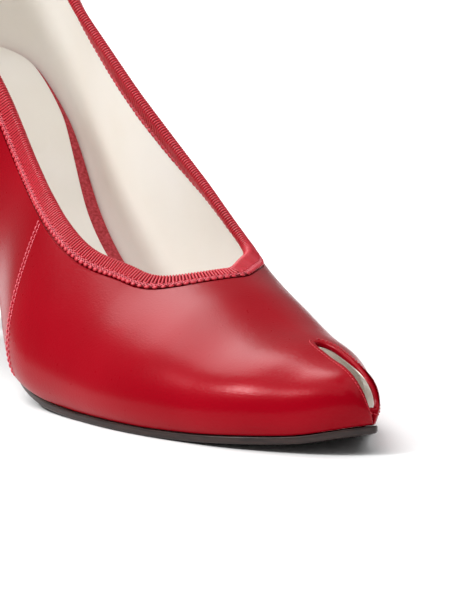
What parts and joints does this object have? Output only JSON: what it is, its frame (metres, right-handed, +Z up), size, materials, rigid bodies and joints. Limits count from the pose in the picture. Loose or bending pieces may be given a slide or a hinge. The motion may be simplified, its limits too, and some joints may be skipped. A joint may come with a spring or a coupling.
{
  "type": "high heel shoe",
  "caption": "Right high heel shoe of red leather: almond toe with a narrow open slit, low-cut topline bound with ribbon, thin leather sole and a covered high heel.",
  "frame": {"origin": "on the floor under the middle of the whole shoe", "axes": "+X to the toe, +Y to the inner side of the foot, +Z up"},
  "size_m": [0.2238, 0.0714, 0.1339],
  "materials": {
    "upper_leather": "smooth polished red leather",
    "ribbon": "red ribbed ribbon",
    "insole_leather": "red grained leather",
    "sock_leather": "cream lining leather",
    "sole_leather": "dark brown burnished sole leather",
    "heel_cover": "heel covered in smooth red leather",
    "lift_rubber": "dark rubber"
  },
  "bodies": {
    "root": {"upper": "upper_leather", "topline_binding": "ribbon", "insole": "insole_leather", "sock": "sock_leather", "outsole": "sole_leather", "heel": "heel_cover", "top_lift": "lift_rubber"}
  },
  "joints": []
}
